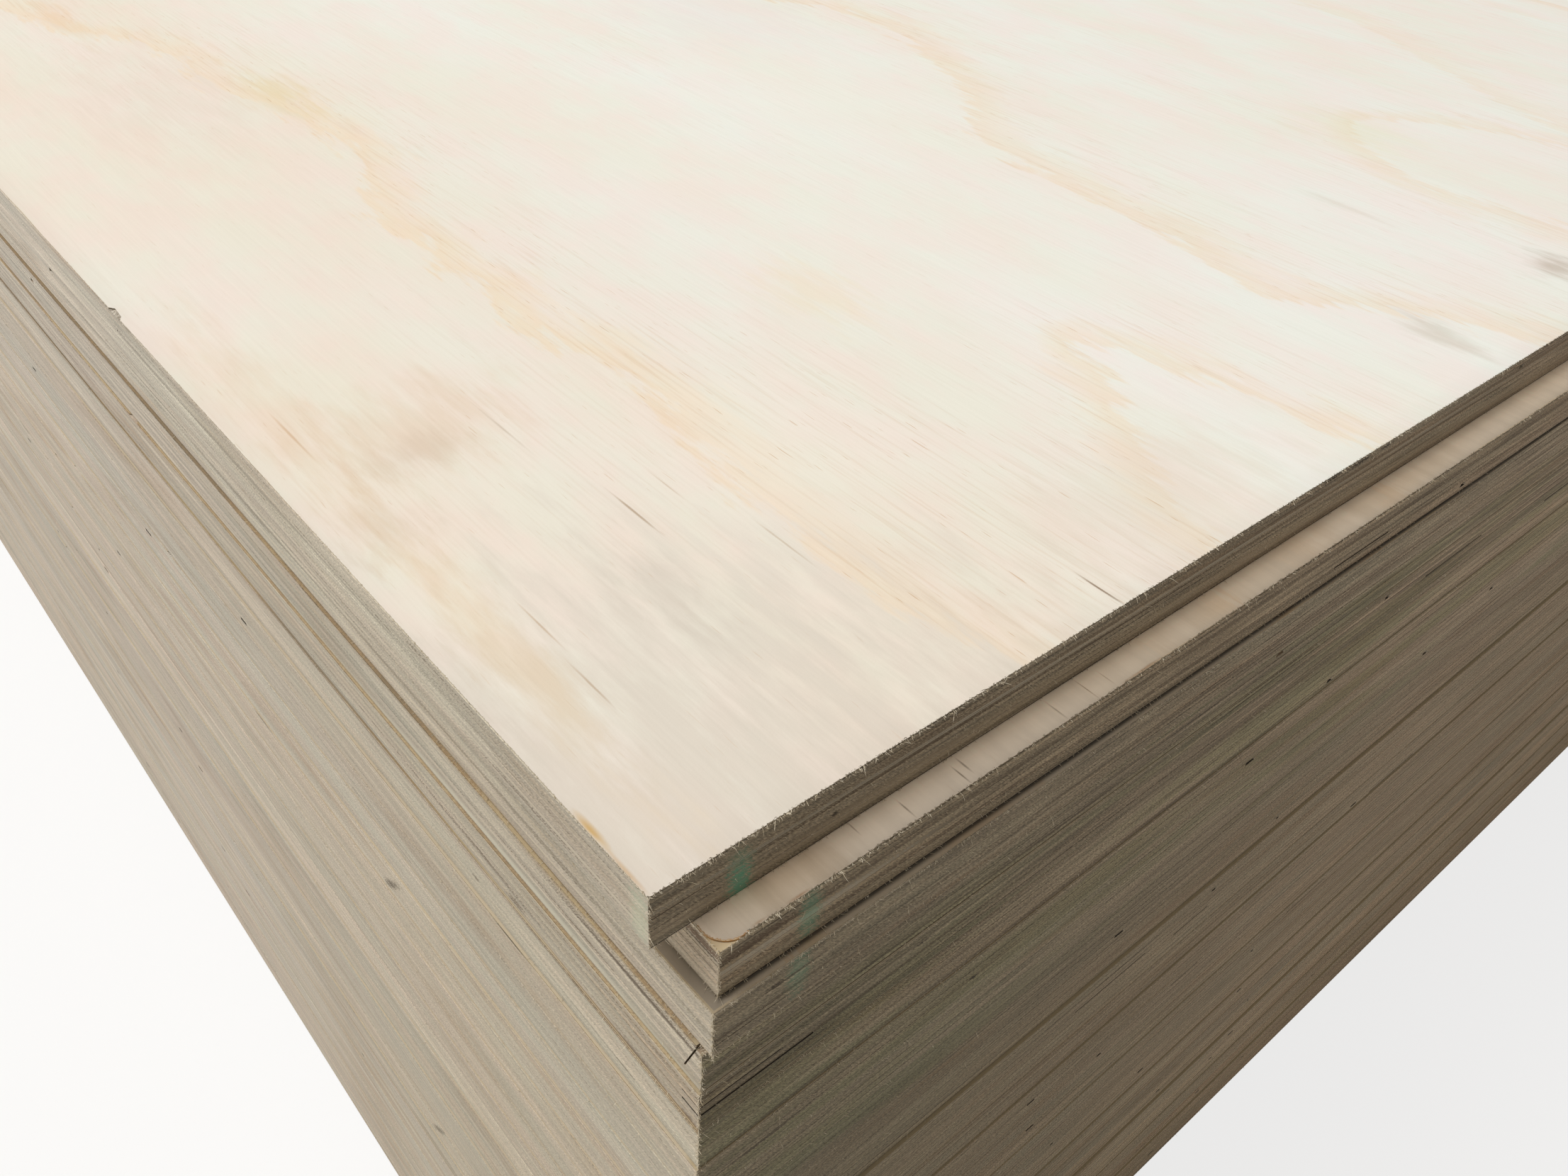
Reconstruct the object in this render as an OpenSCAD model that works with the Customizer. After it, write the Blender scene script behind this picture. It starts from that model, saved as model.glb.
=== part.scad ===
// Stack of plywood sheets, as delivered flat and not strapped.
// The long way of the sheets is X, their width is Y, and Z is up.
// The origin is the middle of the bottom sheet's underside.
// The sheets are numbered from the top down.

/* [Sheet] */
// Length of a sheet, along the grain of its faces
sheet_l = 2440; // [1220:10:3050]
// Width of a sheet
sheet_w = 1220; // [600:10:1530]
// Thickness of a sheet
sheet_t = 18; // [12:0.5:25]

/* [Plies] */
// Number of plies in a sheet, an odd number
ply_count = 11; // [7:2:13]
// Thickness of each face veneer
face_t = 0.6; // [0.4:0.1:1.2]
// How far the worn edge of a face veneer lies back from the sawn edge
face_back = 0.25; // [0.15:0.05:0.8]
// How far the cross-grain plies lie back on the long edges
cross_back_long = 0.07; // [0.05:0.01:0.5]
// How far the cross-grain plies lie back on the short edges
cross_back_short = 0.1; // [0.05:0.01:0.5]

/* [Stack] */
// Number of sheets
sheet_count = 29; // [8:1:40]
// How far the fourth sheet stands back from the bottom one across the stack
lean_y = 6.4; // [0:0.1:12]
// How unevenly the lower sheets lie over each other
unevenness = 0.55; // [0:0.05:2]
// How far the top sheet is pushed back along the stack
top_slide_x = -9.8; // [-20:0.1:20]
// How far the top sheet overhangs across the stack
top_slide_y = -1.2; // [-20:0.1:20]
// How far the second sheet is slid along the stack
second_slide_x = -0.1; // [-20:0.1:20]
// How far the second sheet is slid across the stack
second_slide_y = 10.7; // [-20:0.1:20]
// Turn of the second sheet about its near corner, in degrees
second_turn = -0.23; // [-0.5:0.01:0.5]
// How far the third sheet is slid along the stack
third_slide_x = 2.5; // [-20:0.1:20]
// How far the third sheet is slid across the stack
third_slide_y = 7.3; // [-20:0.1:20]

/* [Core gaps] */
// Number of open core joints on each long edge of a sheet
joints_long = 3; // [0:1:8]
// Number of open core joints on each short edge of a sheet
joints_short = 2; // [0:1:6]
// Widest open core joint
joint_w = 7; // [2:0.5:15]
// Longest slit where a core strip falls short of the edge
slit_l = 46; // [10:1:90]
// How deep the slits and joints reach in from the edge
gap_depth = 14; // [4:1:40]
// Number of splinters out of the upper face veneer on each edge of a sheet
chips_long = 2; // [0:1:10]
// Longest splinter out of a face veneer
chip_l = 16; // [4:1:40]
// Deepest splinter out of a face veneer
chip_d = 1.6; // [0.5:0.1:4]

/* [Damage at the near corner] */
// Radius of the face veneer broken off the second sheet's corner
corner_chip_r = 7; // [2:0.5:20]
// Side of the notch broken out of the fourth sheet's corner
notch_side = 2.4; // [1:0.1:12]
// Height of that notch
notch_h = 1.5; // [0.8:0.1:5]
// Distance of the middle of the crack in the fourth sheet from its corner
crack_from_corner = 4.6; // [4:0.1:30]
// Width of that crack
crack_w = 0.5; // [0.3:0.1:2]
// Length of that crack
crack_l = 13.2; // [4:0.1:14]
// How far that crack leans from upright, in degrees
crack_lean = 20; // [0:1:25]
// Length of the black slit along the fifth sheet
long_slit_l = 21; // [10:1:80]
// How far the slit falls away from the corner, in degrees
long_slit_fall = 5; // [0:0.5:6]
// Height of that slit
long_slit_h = 0.3; // [0.2:0.05:1]
// How far the fifth sheet's plies have come apart along the short edge, from the corner
split_l = 38; // [10:1:80]
// Height of that split at the corner
split_h = 0.9; // [0.3:0.1:1.4]

/* [Hidden] */
function node_name(i) = str("sheet_", i < 10 ? "0" : "", i);

core_t = (sheet_t - 2 * face_t) / (ply_count - 2);
edge_margin = 60;
seed = 41;
sheet_colour = [0.80, 0.74, 0.64];
slit_h = 0.35 * core_t;
overcut = 1;
// The near corner of a sheet is the one at +X and -Y
near_corner = [sheet_l / 2, -sheet_w / 2, 0];

// Height of the underside of ply k, counted from the bottom of the sheet
function ply_z(k) = k == 0 ? 0 : k == ply_count ? sheet_t : face_t + (k - 1) * core_t;
function is_face(k) = k == 0 || k == ply_count - 1;
function is_cross(k) = k % 2 == 1;
function back(k, cross_back) = is_face(k) ? face_back : is_cross(k) ? cross_back : 0;

// Section of a sheet, with every ply as a step of its own
function ply_section(width, cross_back) = concat(
    [for (k = [0:ply_count - 1], z = [ply_z(k), ply_z(k + 1)]) [width / 2 - back(k, cross_back), z]],
    [for (k = [ply_count - 1:-1:0], z = [ply_z(k + 1), ply_z(k)]) [back(k, cross_back) - width / 2, z]]
);

// Slides and turns of the sheets in the stack
function lower_share(i) = (sheet_count - i) / (sheet_count - 4);
function uneven(i, n) = i == sheet_count ? 0 : unevenness * rands(-1, 1, 2, seed + 7 * i)[n];
function slide_x(i) = i == 1 ? top_slide_x : i == 2 ? second_slide_x : i == 3 ? third_slide_x
    : 1.4 * uneven(i, 0);
function slide_y(i) = i == 1 ? top_slide_y : i == 2 ? second_slide_y : i == 3 ? third_slide_y
    : lean_y * pow(lower_share(i), 1.8) + (i == 4 ? 0 : 0.5 * uneven(i, 1));
function turn(i) = i == 2 ? second_turn : 0;
function base_z(i) = (sheet_count - i) * sheet_t;

// Puts a sheet, made about its own middle, at its place in the stack, turned about the near corner
module placed(i) {
    translate([slide_x(i), slide_y(i), base_z(i)])
        translate(near_corner) rotate([0, 0, turn(i)]) translate(-near_corner) children();
}

// The pressed panel: its two sections, run through each other, leave every ply as a step in the edges
module pressed_panel() {
    intersection() {
        rotate([90, 0, 90]) linear_extrude(sheet_l, center = true)
            polygon(ply_section(sheet_w, cross_back_long));
        rotate([90, 0, 0]) linear_extrude(sheet_w, center = true)
            polygon(ply_section(sheet_l, cross_back_short));
    }
}

// One cut into an edge: u along the edge, z up, with the edge on the side that dir points to
module edge_cut(on_long, dir, u, z, length, height, depth) {
    half = (on_long ? sheet_w : sheet_l) / 2;
    size = on_long ? [length, depth + overcut, height] : [depth + overcut, length, height];
    mid = dir * (half - depth / 2 + overcut / 2);
    translate([on_long ? u : mid, on_long ? mid : u, z + height / 2]) cube(size, center = true);
}

// Open joints between core strips: a gap as high as the ply, in a ply that runs in from the edge
module open_joints(i, on_long, dir, count) {
    span = (on_long ? sheet_l : sheet_w) / 2 - edge_margin;
    spot = rands(-1, 1, max(1, count), seed + 100 * i + 10 * dir + (on_long ? 1 : 2));
    size = rands(0.25, 1, max(1, count), seed + 100 * i + 10 * dir + (on_long ? 3 : 4));
    inset = 0.05 * core_t;
    if (count > 0) for (n = [0:count - 1]) {
        steps = floor((ply_count - 3) / 2);
        k = (on_long ? 1 : 2) + 2 * ((i + 2 * n + dir + 1) % (on_long ? steps + 1 : steps));
        // One share of the edge for each joint, so that two never meet
        u = span * (2 * (n + 0.5 + 0.3 * spot[n]) / count - 1);
        edge_cut(on_long, dir, u, ply_z(k) + inset, joint_w * size[n], core_t - 2 * inset, gap_depth);
    }
}

// Slits: a strip in a ply along the edge falls short of it
module short_strips(i, on_long, dir) {
    span = (on_long ? sheet_l : sheet_w) / 2 - edge_margin;
    draw = rands(-1, 1, 2, seed + 50 * i + 5 * dir + (on_long ? 1 : 2));
    steps = floor((ply_count - 3) / 2);
    k = (on_long ? 2 : 1) + 2 * ((2 * i + dir + 1) % (on_long ? steps : steps + 1));
    length = slit_l * (0.65 + 0.35 * draw[1]);
    edge_cut(on_long, dir, draw[0] * (span - slit_l), ply_z(k) + slit_h, length, slit_h, gap_depth / 2);
}

// Splinters out of the upper face veneer, shallow at both ends
module splinters(i, dir, count) {
    span = sheet_l / 2 - edge_margin;
    draw = rands(0, 1, 2 * max(1, count), seed + 20 * i + 3 * dir);
    if (count > 0) for (n = [0:count - 1]) {
        length = chip_l * (0.4 + 0.6 * draw[2 * n]);
        deep = face_back + chip_d * (0.3 + 0.7 * draw[2 * n + 1]);
        u = span * (2 * (n + 0.2 + 0.6 * draw[2 * n + 1]) / count - 1);
        translate([u, dir * sheet_w / 2, sheet_t - face_t]) linear_extrude(face_t + overcut)
            polygon([[-length / 2, dir * overcut], [-length / 4, -dir * deep],
                     [length / 5, -dir * deep * 0.8], [length / 2, dir * overcut]]);
    }
}

// A sheet with the gaps and splinters that every sheet has
module plain_sheet(i) {
    difference() {
        pressed_panel();
        for (dir = [-1, 1]) {
            open_joints(i, true, dir, joints_long);
            open_joints(i, false, dir, joints_short);
            short_strips(i, true, dir);
            short_strips(i, false, dir);
            splinters(i, dir, chips_long);
        }
    }
}

module at_corner() {
    translate(near_corner) children();
}

// Second sheet: the face veneer is broken off the corner in a round flake
module flaked_corner() {
    r = corner_chip_r;
    at_corner() translate([0, 0, sheet_t - face_t]) difference() {
        translate([-r, -overcut, 0]) cube([r + overcut, r + overcut, face_t + overcut]);
        translate([-r, r, -overcut]) cylinder(r = r, h = face_t + 3 * overcut, $fn = 48);
    }
}

// Fourth sheet: the tip of the upper plies is missing, and a crack beside it runs down through the plies
module broken_corner() {
    at_corner() {
        translate([-notch_side, -overcut, sheet_t - notch_h])
            cube([notch_side + overcut, notch_side + overcut, notch_h + overcut]);
        translate([-crack_from_corner, 0, 0.58 * sheet_t]) rotate([0, crack_lean, 0])
            cube([crack_w, gap_depth, crack_l], center = true);
    }
}

// Fifth sheet: one long slit that falls away from the corner, and a shorter, level one under it
module long_slits() {
    at_corner() for (n = [0, 1]) {
        length = long_slit_l * (1 - 0.45 * n);
        translate([-8 + 3 * n, -overcut, ply_z(ply_count - 3) - 0.8 - n * 2.6 * core_t])
            rotate([0, (n - 1) * long_slit_fall, 0]) translate([-length, 0, 0])
                cube([length, gap_depth / 2, long_slit_h]);
    }
}

// Fifth sheet: from the corner along the short edge two glue lines have opened, the lower one furthest
module split_glue_lines() {
    at_corner() for (n = [0, 1]) {
        reach = split_l * (1 - 0.3 * n);
        height = split_h * (1 - 0.4 * n);
        translate([-gap_depth / 2, -overcut, ply_z(5 + 2 * n) - height / 2])
            cube([gap_depth / 2 + overcut, reach + overcut, height]);
    }
}

module sheet(i) {
    color(sheet_colour) placed(i) difference() {
        plain_sheet(i);
        if (i == 2) flaked_corner();
        if (i == 4) broken_corner();
        if (i == 5) long_slits();
        if (i == 5) split_glue_lines();
    }
}

for (i = [1:sheet_count]) sheet(i);
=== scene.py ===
import math
import random
from types import SimpleNamespace
import bpy
from mathutils import Matrix, Vector


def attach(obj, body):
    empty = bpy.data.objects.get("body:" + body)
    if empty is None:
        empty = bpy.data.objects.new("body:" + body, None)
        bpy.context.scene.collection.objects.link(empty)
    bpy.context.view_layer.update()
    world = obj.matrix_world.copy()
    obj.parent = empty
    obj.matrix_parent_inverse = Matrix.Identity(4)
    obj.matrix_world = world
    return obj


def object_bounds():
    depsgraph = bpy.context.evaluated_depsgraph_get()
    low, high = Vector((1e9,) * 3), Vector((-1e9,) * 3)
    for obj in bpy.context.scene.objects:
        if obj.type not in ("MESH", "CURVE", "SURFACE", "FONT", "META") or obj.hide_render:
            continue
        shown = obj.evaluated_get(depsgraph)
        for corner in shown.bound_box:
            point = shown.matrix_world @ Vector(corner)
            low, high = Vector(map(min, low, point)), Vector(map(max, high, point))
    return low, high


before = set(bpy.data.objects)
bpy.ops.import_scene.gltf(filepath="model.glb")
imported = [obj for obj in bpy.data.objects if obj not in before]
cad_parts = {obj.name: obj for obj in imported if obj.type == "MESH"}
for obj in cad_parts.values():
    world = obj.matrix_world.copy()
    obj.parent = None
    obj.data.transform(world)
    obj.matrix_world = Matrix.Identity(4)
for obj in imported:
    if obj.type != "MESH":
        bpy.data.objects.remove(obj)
cad_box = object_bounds()


# The sheets
# Pine-faced construction plywood, 2440 x 1220 x 18 mm: rotary-cut veneers glued crosswise, hot
# pressed, and sawn to size. The faces are pale sanded pine, and the sawn edges show every ply.
sheet_l, sheet_w, sheet_t = 2.44, 1.22, 0.018
face_t = 0.0006
ply_count = 11
core_plies = ply_count - 2
core_t = (sheet_t - 2 * face_t) / core_plies
second_turn = math.radians(-0.23)
sheet_names = sorted(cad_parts)
# The materials work in millimetres: half a sheet's length, width and thickness, the height of its
# upper face, and the depth of a face mark, which is more than any step in a face
half_l, half_w, half_t = 1220.0, 610.0, 9.0
upper_face = 18
mark_depth = 60
# How far from a sheet's middle height its faces begin, and how far on the second sheet, whose
# corner has lost a flake down to the next ply, and the flake's radius
face_from, flake_from, flake_r = 8.9, 8.3, 7
# How far from the near corner the photo shows the top face's own rings, along and across the
# grain, and where the made-up ones have taken over
own_rings_l, made_up_l, own_rings_w, made_up_w = 680.0, 780.0, 820.0, 940.0
# From here to there the face of a lower sheet turns from its short edge's ledge to its long one's
ledge_turns = (3.0, 6.0)


def linear(hex_colour):
    """An sRGB hex colour as the linear RGBA that Blender's sockets take."""
    parts = [int(hex_colour[i:i + 2], 16) / 255 for i in (1, 3, 5)]
    return (*[p / 12.92 if p <= 0.04045 else ((p + 0.055) / 1.055) ** 2.4 for p in parts], 1.0)


def add_node(tree, kind, inputs=None, **settings):
    """Adds a shader node, with its settings, and links or sets its inputs: a dict gives them by
    name or number, and a list in the node's own order."""
    made = tree.nodes.new("ShaderNode" + kind)
    for name, value in settings.items():
        setattr(made, name, value)
    inputs = inputs or {}
    for name, value in inputs.items() if isinstance(inputs, dict) else enumerate(inputs):
        if isinstance(value, bpy.types.Node):
            value = next(socket for socket in value.outputs if socket.enabled)
        if isinstance(value, bpy.types.NodeSocket):
            tree.links.new(value, made.inputs[name])
        else:
            made.inputs[name].default_value = value
    return made


# A Mix node's sockets go by number, because their names repeat for each type of data
factor, value_a, value_b, colour_a, colour_b = 0, 2, 3, 6, 7
blend = {"data_type": "RGBA"}
multiply = {"data_type": "RGBA", "blend_type": "MULTIPLY"}


def near_corner(name):
    """The lowest corner of a sheet at the end that the camera looks at."""
    points = [v.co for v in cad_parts[name].data.vertices]
    low = min(p.z for p in points)
    best = max(points, key=lambda p: p.x - p.y)
    return Vector((best.x, best.y, low))


# Where the growth rings cross the top face: points along the grain and across it, in mm from
# the near corner. Each ring starts sharply at its line and fades out across the grain.
ring_lines = [
    ([(0, 116), (40, 108), (100, 108), (150, 117), (200, 117), (235, 105), (262, 115), (282, 108),
      (300, 112), (340, 109), (372, 121), (395, 130), (460, 130), (500, 122), (535, 112),
      (570, 117), (610, 104), (640, 85), (670, 75), (710, 67), (900, 80)], 24, 0.85),
    ([(0, 412), (20, 404), (55, 385), (75, 365), (95, 355), (120, 365), (160, 372), (230, 377),
      (265, 386), (300, 415), (320, 430), (350, 445), (390, 462), (420, 470), (470, 465),
      (490, 450), (560, 425), (900, 440)], 30, 0.7),
    ([(0, 640), (100, 655), (200, 700), (300, 745), (420, 735), (560, 690), (900, 700)], 34, 0.4),
]
# Rings that close on themselves: middle line, then half the height, both along the grain
ring_loops = [
    ([(0, 248), (40, 253), (80, 266), (115, 267), (200, 267)],
     [(0, 42), (40, 30), (80, 12), (108, 0), (150, -60), (400, -200)], 22, 0.7),
    ([(0, 592), (60, 585), (100, 578), (175, 575), (300, 575)],
     [(0, 60), (60, 54), (120, 48), (160, 24), (178, 0), (230, -80), (600, -200)], 26, 0.55),
]
# Sheets that don't lie close on the one below at the short edge, so a dark line of painted
# shade shows in the gap there
under_shade_open = {1: 0.95, 2: 0.95, 4: 0.6, 5: 0.5, 6: 0.4, 7: 0.9, 8: 0.4, 9: 0.4, 11: 0.4, 14: 0.35,
              18: 0.35, 22: 0.3}
under_shade_closed = 0.12
# The face veneers seen in the long edges at each joint, from the top down: how clearly they
# show, and how thick, in mm. The lower one of the fifth sheet is seen thickest.
veneer_lines = [(0.0, 0.6), (0.1, 0.5), (0.5, 0.7), (1.0, 0.8), (1.0, 0.75), (0.95, 1.1),
                (0.85, 0.55), (0.35, 0.4), (0.65, 0.5)]
thickest_veneer = {5: 2.0}
joint_draw = random.Random(5)
veneer_lines += [(joint_draw.uniform(0.05, 0.55), joint_draw.uniform(0.35, 0.6))
                 for _ in range(len(veneer_lines), len(sheet_names) + 1)]

# How ochre the narrow strips of the lower sheets' faces are that show along the long edges
ledge_ochre = {4: 0.75, 5: 0.7, 7: 0.1}
plain_ochre = 0.15
# How much lighter or darker single sheets are at the short side
short_side_lift = {6: 1.09, 7: 1.16, 8: 1.1, 9: 0.97, 10: 0.92, 11: 0.97}
# What shows inside the slits of a sheet, and how much of it: wood in two of them, else dark
# painted shade
inside_slits = {1: ("#8F7D66", 0.2), 4: ("#94734E", 0.6)}
painted_shade_inside = ("#2E251B", 0.9)

# Colours of the sawn edges: the wood, the short side's painted shade near the corner and far from
# it, tints laid over them, glue lines on the long and the short edges, the joints, and the painted
# shade under a sheet
wood_cream, wood_grey, wood_pink = "#CDC2B0", "#C6BFAE", "#CBBDAC"
short_near, short_far = "#AEA99C", "#D4C8BC"
smear_tint, moss_tint = "#D2C2B2", "#DFECD4"
glue_dark_long, glue_dark_short = "#635340", "#43372A"
glue_pale_long, glue_pale_short = "#E0D7C5", "#A89B88"
joint_dark, under_shade_dark = "#3B3024", "#2C231A"
resin_brown, resin_ochre, resin_pale = "#7B674A", "#9A7B51", "#B5A27C"
frayed_upper, frayed_lower = "#B5A996", "#A39783"
# Colours of the faces: sanded pine, two tints of the top face, rings and latewood, dust and
# painted shade, the ledges of the lower sheets, frayed and worn arrises, and the bare ply under a
# lost flake
pine_white, pine_cream = "#F7F7F5", "#F6F4EE"
mottle_pink, mottle_green, near_long_edge = "#FCF6F4", "#F8FBF7", "#FCF6F0"
ring_yellow, ring_pink, latewood, dash_brown = "#F3DDB8", "#F2DAC0", "#DDBB94", "#C39763"
dust_and_shade_upper, dust_and_shade_lower = "#F0E0CD", "#A1978A"
ledge_long, ledge_short = "#C2B7A2", "#B0A184"
arris_pale, frayed_short, frayed_long = "#D9C7A8", "#6A604E", "#A3977F"
bare_pale, bare_brown, torn_orange = "#D9C7A4", "#A98C66", "#B4803F"

# Marks on the faces: sheet, along, across, their two radii, strength, colour
face_marks = [
    # The first mark, a broad grey patch at the near corner of the top, is painted shade
    (1, 15, 20, 95, 120, 0.75, "#DDD3C6"), (1, 190, 48, 30, 40, 0.4, "#E0CAAE"),
    (1, 178, 40, 12, 22, 0.22, "#BFA88E"), (1, 150, 17, 20, 12, 0.3, "#C9BBA8"),
    (1, 72, 60, 60, 50, 0.3, "#E2DDD3"), (1, 115, 130, 60, 45, 0.3, "#F8F3EA"),
    (1, 30, 387, 20, 10, 0.4, "#C4B7A5"), (1, 30, 486, 13, 14, 0.5, "#AD9C88"),
    (1, 120, 466, 22, 4, 0.3, "#C9B8A2"), (1, 190, 214, 34, 20, 0.35, "#F1DEBC"),
    (1, 495, 138, 44, 14, 0.5, "#E6D6A8"), (1, 520, 90, 90, 44, 0.4, "#E9D9CC"),
    (1, 655, 90, 44, 10, 0.4, "#EACCAA"), (1, 95, 17, 80, 9, 0.4, "#E6CFAC"),
    (1, 215, 17, 110, 12, 0.35, "#E6D0B6"), (1, 22, 208, 40, 60, 0.4, "#E4D8C8"),
    (1, 115, 77.5, 13, 0.45, 0.7, "#A98F70"), (1, 61, 27, 10, 0.4, 0.6, "#B5997A"),
    (1, 88, 29, 12, 0.4, 0.6, "#BD9F7C"), (1, 78, 103, 12, 0.4, 0.45, "#B99F80"),
    (1, 120, 93, 10, 0.4, 0.45, "#B99F80"), (1, 9, 160, 10, 0.5, 0.9, "#846A50"),
    (1, 209, 16, 16, 0.5, 0.5, "#C9A276"), (1, 175, 70, 16, 0.6, 0.4, "#A8937A"),
    (1, 80, 63, 24, 10, 0.35, "#CFC8BC"), (1, 350, 350, 110, 80, 0.5, "#F2F3EA"),
    (1, 490, 400, 80, 60, 0.4, "#ECE6E4"), (1, 170, 560, 36, 30, 0.3, "#EBE7C9"),
    (1, 23, 1.0, 7, 1.2, 0.8, "#CFA552"), (1, 9, 0.6, 8, 0.7, 0.5, "#C79A55"),
    (2, 5, 61.5, 4.6, 0.4, 0.8, "#6E5C48"), (2, 4, 80.5, 4.2, 0.35, 0.8, "#6E5C48"),
    (2, 6, 83.5, 3.4, 0.4, 0.7, "#6E5C48"), (2, 8, 47, 3, 0.3, 0.6, "#7E6C56"),
    (2, 5, 118, 5, 0.4, 0.7, "#7E6C56"), (2, 5, 131, 5, 0.3, 0.7, "#8A6A40"),
    (2, 5, 139, 4, 0.3, 0.5, "#8A6A40"), (2, 6, 26, 12, 18, 0.4, "#D8C9B0"),
    (2, 0.7, 24, 0.7, 4, 0.7, "#B4803F"), (2, 0.8, 12, 0.6, 3, 0.5, "#B98A4C"),
    (2, 0.6, 150, 0.6, 9, 0.6, "#B98A4C"), (2, 4, 190, 5, 16, 0.2, "#DCC08E"),
    (2, 5, 300, 5, 40, 0.15, "#DCC08E"),
]
# Marks on the sawn edges: sheet, edge, along from the near corner, height in the sheet, half the
# length and the width, tilt in degrees, strength, colour. Dark ones are rough or open wood and
# dirt, cream ones clean pine, and the green is marking paint brushed down the upper sheets.
dirt, gap_dark, cream, paint = "#6B5A47", "#2E261D", "#E2D8C4", "#5F9A7F"
edge_marks = [
    (1, "long", 56, 3.6, 18, 0.35, 0, 0.6, dirt), (1, "long", 56, 8.4, 9, 0.4, 0, 0.45, dirt),
    (1, "long", 40, 5.4, 90, 0.5, 0, 0.45, cream), (1, "long", 102, 15.4, 5, 0.5, 0, 0.5, dirt),
    (1, "long", 200, 10, 150, 1.0, 0, 0.3, dirt), (1, "long", 3.2, 9, 3.6, 9.5, 0, 0.4, "#CBD8BD"),
    (2, "long", 5, 15.4, 12, 1.6, 0, 0.85, "#6E5642"),
    (2, "long", 5, 13.4, 12, 0.4, 0, 0.85, "#4E3D2C"),
    (2, "long", 1.5, 17.2, 4, 0.8, 0, 0.9, "#D3C09A"),
    (2, "long", 4, 17.8, 5, 0.3, 0, 0.9, "#B4803F"),
    (2, "short", 4, 17.8, 5, 0.3, 0, 0.9, "#B4803F"), (2, "long", 8, 9, 14, 0.5, 0, 0.5, dirt),
    (3, "long", 60, 9, 400, 1.0, 0, 0.4, dirt), (3, "long", 80, 5, 300, 0.4, 0, 0.5, cream),
    # The next two dark marks at the fourth sheet's corner are its broken tip and painted shade
    # under the third sheet's overhang
    (4, "long", 1.2, 17.2, 2.2, 1.0, 0, 0.8, "#5A4634"),
    (4, "short", 1.2, 17, 2.6, 1.2, 0, 0.9, "#3F3226"),
    (4, "long", 30, 15, 38, 1.3, 0, 0.8, "#5E4F3E"), (4, "long", 50, 8.2, 18, 0.5, 0, 0.6, dirt),
    (4, "long", 50, 6.5, 80, 0.4, 0, 0.6, cream), (4, "long", 90, 2.4, 70, 1.4, 0, 0.55, "#DDDCCB"),
    (5, "long", 16, 14.8, 7, 0.3, 0, 0.6, dirt), (5, "long", 26, 2.4, 10, 0.8, 0, 0.6, dirt),
    (5, "long", 4, 2.4, 3, 0.9, 0, 0.7, dirt), (5, "long", 112, 8.2, 36, 0.8, 0, 0.7, "#5E4F40"),
    (5, "long", 86, 4.3, 5, 1.2, 0, 0.7, "#5E4F40"), (5, "long", 60, 0.9, 60, 0.4, 0, 0.5, cream),
    (6, "long", 32, 5.6, 7, 0.4, 0, 0.6, dirt), (6, "long", 52, 5.6, 14, 0.35, 0, 0.3, dirt),
    (6, "long", 111, 8.4, 1.8, 0.6, 0, 0.6, dirt), (6, "long", 40, 7.2, 70, 0.4, 0, 0.4, cream),
    (1, "short", 300, 13.4, 420, 0.9, 0, 0.55, dirt),
    (1, "short", 80, 10.4, 60, 0.7, 0, 0.75, "#5A4A39"),
    (1, "short", 330, 10.4, 180, 0.6, 0, 0.6, "#5A4A39"),
    (1, "short", 200, 11.9, 260, 0.4, 0, 0.35, cream),
    (1, "short", 54, 7, 1.2, 0.9, 0, 0.8, gap_dark),
    (1, "short", 90, 14.6, 20, 0.6, 0, 0.6, "#5A4A39"),
    (1, "short", 200, 4, 250, 1.9, 0, 0.25, "#C9B397"),
    (1, "short", 266, 17.0, 5, 0.7, 0, 0.9, gap_dark),
    (1, "short", 282, 16.6, 9, 0.7, 0, 0.85, gap_dark),
    (1, "short", 299, 16.8, 4, 0.6, 0, 0.8, gap_dark),
    (1, "short", 25.3, 3.4, 3.6, 5.8, 0, 0.85, paint), (1, "short", 25, 11, 3.8, 5, 0, 0.3, paint),
    (2, "short", 10, 12.8, 18, 1.7, 0, 0.75, "#54412F"),
    (2, "short", 300, 12.8, 420, 1.3, 0, 0.5, "#5A4A39"),
    (2, "short", 250, 5.5, 400, 0.9, 0, 0.6, "#5A4A39"),
    (2, "short", 20, 9, 34, 1.6, 0, 0.3, cream), (2, "short", 27, 9, 3.4, 8.5, 0, 0.42, paint),
    (3, "short", 26, 10.5, 3.4, 8, 0, 0.3, paint),
    (3, "short", 19, 11.7, 2.4, 0.8, 0, 0.9, "#41362A"),
    (3, "short", 27, 11.6, 8, 0.4, 0, 0.6, "#41362A"),
    (3, "short", 200, 6.5, 260, 1.0, 0, 0.5, "#5A4A39"),
    (4, "short", 100, 3.0, 110, 0.9, 0, 0.6, "#4E4132"),
    (4, "short", 55, 2.8, 6, 0.7, 0, 0.7, "#41362A"),
    (5, "short", 60, 8.6, 90, 0.9, 0, 0.6, "#4E4132"),
    (5, "short", 60, 14.2, 80, 0.8, 0, 0.4, "#4E4132"),
    (5, "short", 38, 5.5, 6, 0.5, 0, 0.7, "#41362A"),
    (6, "short", 100, 9, 120, 0.9, 0, 0.35, "#4E4132"),
    (6, "short", 150, 1.4, 240, 1.2, 0, 0.5, "#4E4132"),
    (7, "short", 24, 7.8, 15, 0.7, 0, 0.75, "#41362A"),
    (7, "short", 150, 7.0, 130, 0.6, 0, 0.45, "#4E4132"),
    (5, "short", 78, 12.8, 3.2, 0.5, 0, 0.9, gap_dark),
    (7, "short", 107, 7.0, 1.4, 0.9, 20, 0.9, gap_dark),
    (10, "long", 182, 7, 9.5, 2.0, 40, 0.75, "#5E5547"),
    (13, "long", 82, 0, 5.0, 0.8, 10, 0.8, "#5E5547"),
    (20, "long", 184, 11, 9.0, 2.0, 42, 0.7, "#5E5547"),
]


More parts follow.
